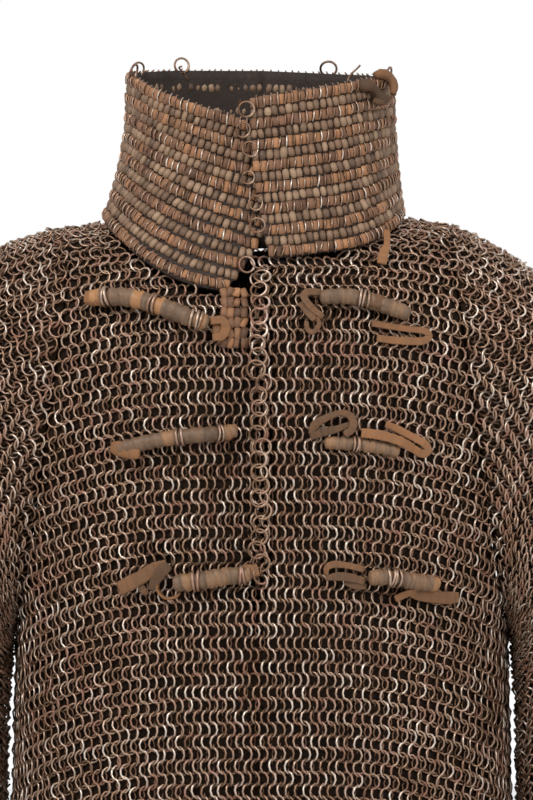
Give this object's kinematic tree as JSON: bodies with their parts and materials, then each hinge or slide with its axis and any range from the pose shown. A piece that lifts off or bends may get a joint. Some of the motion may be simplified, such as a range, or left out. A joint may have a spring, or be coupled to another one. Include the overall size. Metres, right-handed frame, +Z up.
{
  "type": "chainmail hauberk",
  "caption": "Short-sleeved mail shirt with a laced standing collar, an overlapping slit front and leather ties, standing hollow as worn.",
  "frame": {"origin": "middle of the neck opening, level with the foot of the collar, where the shirt hangs on the wearer", "axes": "+Z up, -Y towards the front, +X towards the viewer's right as the front is faced"},
  "size_m": [0.596, 0.2439, 0.748],
  "materials": {
    "mail": "dark brown iron rings, worn bright on their edges, with a little rust",
    "laced_collar": "iron rings laced tight with brown leather thongs",
    "leather": "old brown leather thong, polished on its high spots"
  },
  "bodies": {
    "root": {"front_left": "mail", "front_right": "mail", "back": "mail", "sleeve_left": "mail", "sleeve_right": "mail", "collar_left": "laced_collar", "collar_right": "laced_collar", "tie_left_top": "leather", "tie_left_middle": "leather", "tie_left_bottom": "leather", "tie_right_top": "leather", "tie_right_middle": "leather", "tie_right_bottom": "leather", "knob_left_top": "leather", "loop_left_bottom": "leather", "loop_right_top": "leather", "loop_right_middle": "leather", "loop_right_bottom": "leather", "strap_right_top": "leather", "strap_right_middle": "leather", "strap_right_bottom": "leather", "tag_right": "leather", "knot_collar": "leather"}
  },
  "joints": []
}
